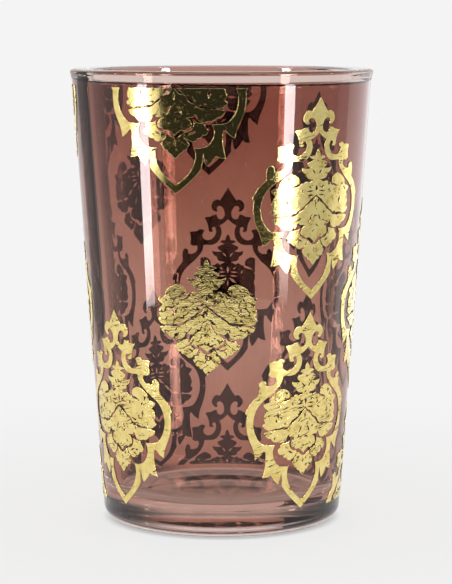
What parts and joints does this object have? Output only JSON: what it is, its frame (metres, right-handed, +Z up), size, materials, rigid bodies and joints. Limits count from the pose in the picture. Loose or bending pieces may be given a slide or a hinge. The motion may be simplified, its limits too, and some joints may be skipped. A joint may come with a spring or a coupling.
{
  "type": "moroccan tea glass",
  "caption": "Tapered tea glass with a thick clear base and rounded lip, a see-through plum lacquer on the outside and gold foil damask medallions laid over it.",
  "frame": {"origin": "centre of the ring that stands on the table, at the table's height", "axes": "+Z up along the glass's axis; -Y is the front as pictured, +X its right"},
  "size_m": [0.06, 0.0598, 0.09],
  "materials": {
    "clear_glass": "polished",
    "plum_lacquer": "clear gloss",
    "gold_foil": "polished, finely crackled"
  },
  "bodies": {
    "root": {"glass_body": "clear_glass", "gold_bouquet_back_bottom": "gold_foil", "gold_bouquet_back_left_lower": "gold_foil", "gold_bouquet_back_left_upper": "gold_foil", "gold_bouquet_back_right_lower": "gold_foil", "gold_bouquet_back_right_upper": "gold_foil", "gold_bouquet_back_top": "gold_foil", "gold_bouquet_front_left_lower": "gold_foil", "gold_bouquet_front_middle": "gold_foil", "gold_bouquet_front_right_lower": "gold_foil", "gold_bouquet_front_right_upper": "gold_foil", "gold_bouquet_front_top": "gold_foil", "gold_bouquet_left_bottom": "gold_foil", "gold_bouquet_left_middle": "gold_foil", "gold_bouquet_left_top": "gold_foil", "gold_bouquet_right_bottom": "gold_foil", "gold_bouquet_right_middle": "gold_foil", "gold_frame_back_bottom": "gold_foil", "gold_frame_back_left_lower": "gold_foil", "gold_frame_back_middle": "gold_foil", "gold_frame_back_right_lower": "gold_foil", "gold_frame_back_right_upper": "gold_foil", "gold_frame_back_top": "gold_foil", "gold_frame_front_left_lower": "gold_foil", "gold_frame_front_right_lower": "gold_foil", "gold_frame_front_right_upper": "gold_foil", "gold_frame_front_top": "gold_foil", "gold_frame_left_bottom": "gold_foil", "gold_frame_left_middle": "gold_foil", "gold_frame_left_top": "gold_foil", "gold_frame_right_bottom": "gold_foil", "gold_frame_right_middle": "gold_foil", "gold_torn_bouquet_back_middle": "gold_foil", "tint_lacquer": "plum_lacquer"}
  },
  "joints": []
}
